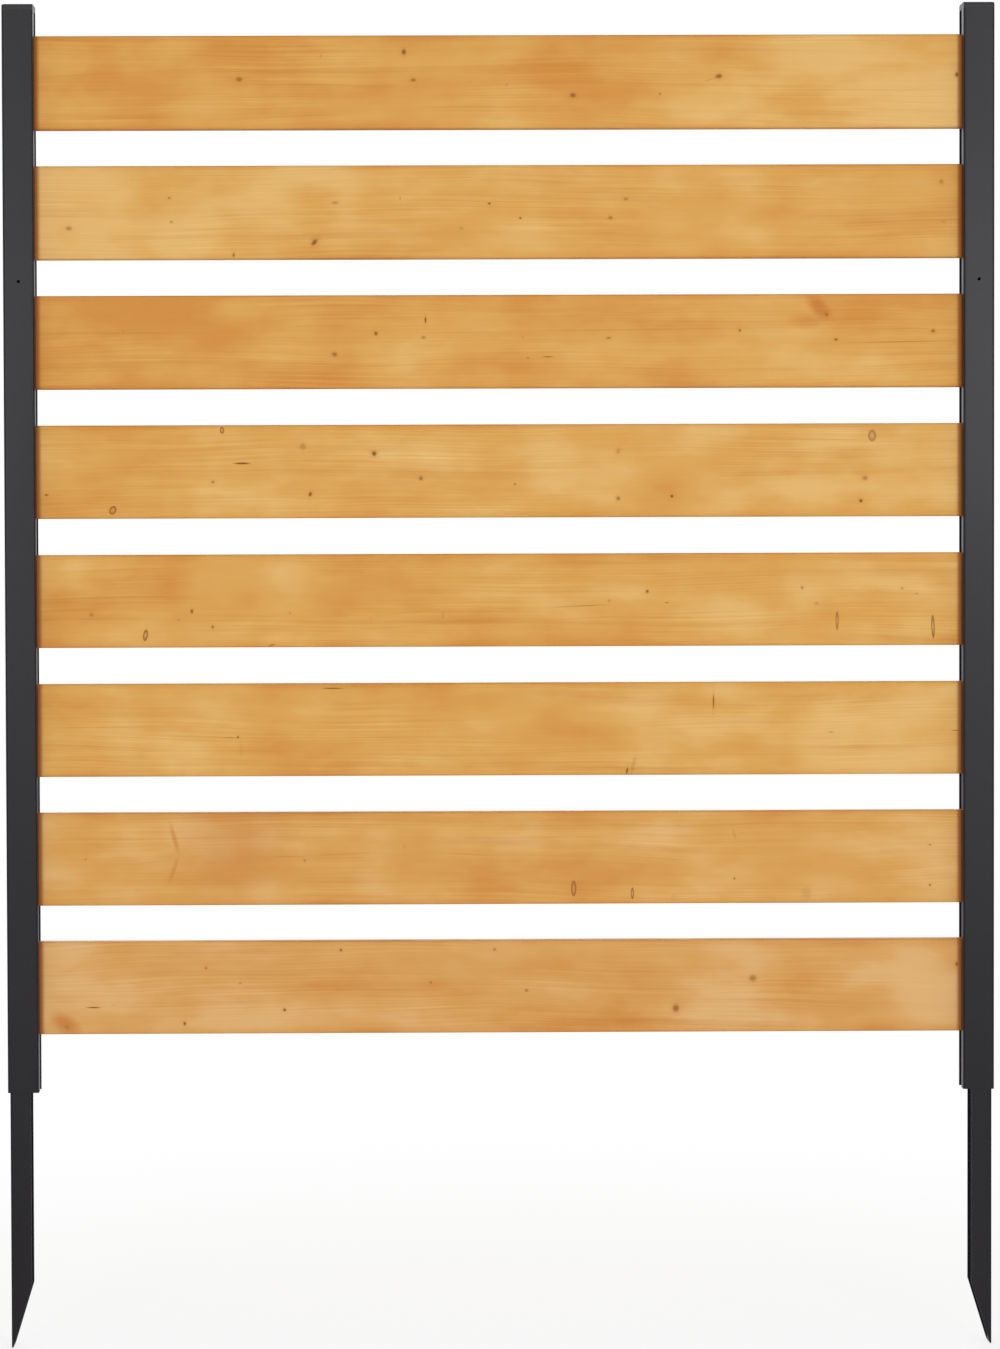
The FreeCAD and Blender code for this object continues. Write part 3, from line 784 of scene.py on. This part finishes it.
def seat_of(node, towards_back):
    """Where the lowest fastener of a CAD node stands, and how far apart the two of a pair are."""
    low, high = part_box(node)
    half = (high.x - low.x) / 2 if "washer" in node else HALF_ACROSS_FLATS
    apart = high.z - low.z - 2 * half
    return (low.x + high.x) / 2, towards_back, low.z + half, apart


for side_number, side in enumerate(SIDES):
    screws_low, screws_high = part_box(f"{side}_slat_screws")
    screw_x = (screws_low.x + screws_high.x) / 2
    washer_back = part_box(f"{side}_stake_washers")[1].y
    nut_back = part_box(f"{side}_stake_nuts")[1].y
    lowest_screw = (screw_x, POST_BACK, board_low.z + HALF_HEIGHT)
    rows = {"slat_screws": (slat_screw, lowest_screw, BOARDS_APART, len(BOARD_NUMBERS))}
    for piece, pattern, seat in (
        ("stake_bolts", stake_bolt, washer_back),
        ("stake_washers", flat_washer, POST_BACK),
        ("stake_nuts", stake_nut, nut_back),
    ):
        x, y, z, apart = seat_of(f"{side}_{piece}", seat)
        rows[piece] = (pattern, (x, y, z), (0.0, 0.0, apart), 2)
    for piece, (pattern, first, step, count) in rows.items():
        values = {"Pattern": pattern, "First": first, "Step": step, "Count": count}
        values |= {"Spin": math.pi, "Seed": side_number + count, "Finish": plated_steel}
        row = grow(f"{side}_{piece}_plated", row_of_fasteners, values)
        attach(row, "root")
        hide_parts(f"{side}_{piece}")

for pattern in (slat_screw, stake_bolt, flat_washer, stake_nut):
    bpy.data.objects.remove(pattern)

# %% [markdown]
# ## Camera
# The screen was photographed from a little under four metres away with a long lens, a bit left of its
# middle and looking slightly down. A long lens keeps the posts nearly parallel. From that place more of the
# right post's inner side shows than of the left one's. The lens in millimetres is for a 36 mm sensor along
# the picture's long side, and a small shift brings the screen back to the middle of the picture without
# turning the camera. The angles are in radians: yaw turns it to the side, pitch tips it down and roll tilts
# its horizon.

# %% The camera
CAMERA_PLACE = (-0.095, -3.8, 0.5052)
LENS = 104.71
SHIFT = 0.0509
YAW, PITCH, ROLL = -0.00751, -0.02686, -0.00329
turn = Matrix.Rotation(YAW, 3, "Z") @ Matrix.Rotation(math.pi / 2 + PITCH, 3, "X")
turn = turn @ Matrix.Rotation(ROLL, 3, "Z")
camera = bpy.data.objects.new("camera", bpy.data.cameras.new("camera"))
camera.data.lens = LENS
camera.data.shift_x = SHIFT
camera.data.clip_end = 100.0
camera.location = CAMERA_PLACE
camera.rotation_euler = turn.to_euler()
bpy.context.collection.objects.link(camera)
bpy.context.scene.camera = camera
print(f"camera {-CAMERA_PLACE[1]:.1f} m in front, lens {LENS:.0f} mm")

# %% [markdown]
# ## Floor and background
# Everything round the screen is white, so the world is white to the camera and to mirror-like reflections,
# but only a soft grey light on the object. The floor is pale as well. Close to the screen it is partly a
# plain matt floor that keeps a trace of shadow, and further out it turns into the same white as the
# background.

# %% White surroundings
DIRECT = ("Is Camera Ray", "Is Transmission Ray", "Is Glossy Ray")


def seen_directly(flow, rays=DIRECT):
    """1 for light that reaches the camera straight or by a mirror, 0 for light that falls on things."""
    path = flow.node("ShaderNodeLightPath").socket.node.outputs
    direct = 0.0
    for ray in rays:
        direct = Flow(flow.tree, path[ray]) + direct
    return direct


def white_world(strength):
    world = bpy.data.worlds.new("surroundings")
    bpy.context.scene.world = world
    world.use_nodes = True
    background = world.node_tree.nodes["Background"]
    direct = seen_directly(Flow(world.node_tree))
    world.node_tree.links.new((direct.rise(0.0, 1.0, strength, 1.0)).socket, background.inputs["Strength"])
    background.inputs["Color"].default_value = (1.0, 1.0, 1.0, 1.0)


def pale_floor(height, half_size):
    mesh = bpy.data.meshes.new("floor")
    corners = [(-1, -1), (1, -1), (1, 1), (-1, 1)]
    mesh.from_pydata([(x * half_size, y * half_size, height) for x, y in corners], [], [(0, 1, 2, 3)])
    floor = bpy.data.objects.new("floor", mesh)
    bpy.context.collection.objects.link(floor)
    material, shader, place = new_finish("pale_floor", Base_Color=colour(244, 244, 243), Roughness=0.9)
    away = place.node("ShaderNodeVectorMath", {"operation": "LENGTH"}, {0: place}, "Value")
    glow = place.node("ShaderNodeEmission", {}, {"Color": (1.0, 1.0, 1.0, 1.0)})
    share = seen_directly(place, DIRECT[:2]) * away.rise(0.4, 1.6, 0.8, 1.0)
    matt = Flow(place.tree, shader.outputs["BSDF"])
    blend = place.node("ShaderNodeMixShader", {}, {0: share, 1: matt, 2: glow})
    output = place.tree.nodes["Material Output"]
    place.tree.links.new(blend.socket, output.inputs["Surface"])
    mesh.materials.append(material)
    return floor


FLOOR_GAP = 0.0005
white_world(strength=0.3)
floor = pale_floor(height=solid_box[0].z - FLOOR_GAP, half_size=12.0)
print("floor size:", [round(v, 1) for v in floor.dimensions])

# %% [markdown]
# ## Lamps
# Two large soft lamps stand in front, one to the left and one to the right, and light the boards almost
# evenly. Each is over a metre across, because a small lamp would throw hard shadows. The right one is a
# little stronger, because the real screen was lit more from the right. A third lamp lights the back of the
# screen.

# %% Soft studio lamps
def soft_lamp(name, place, aim, size, power):
    lamp = bpy.data.lights.new(name, "AREA")
    lamp.shape = "RECTANGLE"
    lamp.size, lamp.size_y = size
    lamp.energy = power
    holder = bpy.data.objects.new(name, lamp)
    holder.location = place
    direction = Vector(aim) - Vector(place)
    holder.rotation_euler = direction.to_track_quat("-Z", "Y").to_euler()
    bpy.context.collection.objects.link(holder)
    print(name, power, "W")


soft_lamp("left_lamp", place=(-1.6, -4.2, 1.0), aim=(-0.2, 0.0, 0.5), size=(1.2, 1.2), power=55.0)
soft_lamp("right_lamp", place=(1.6, -4.2, 1.0), aim=(0.2, 0.0, 0.5), size=(1.2, 1.2), power=67.0)
soft_lamp("back_lamp", place=(0.0, 3.2, 2.4), aim=(0.0, 0.0, 0.5), size=(2.4, 1.6), power=72.0)

# %% [markdown]
# ## Colour view
# The view transform is set to Standard, so that a colour renders about as it is written.

# %% The view transform
scene = bpy.context.scene
scene.view_settings.view_transform = "Standard"
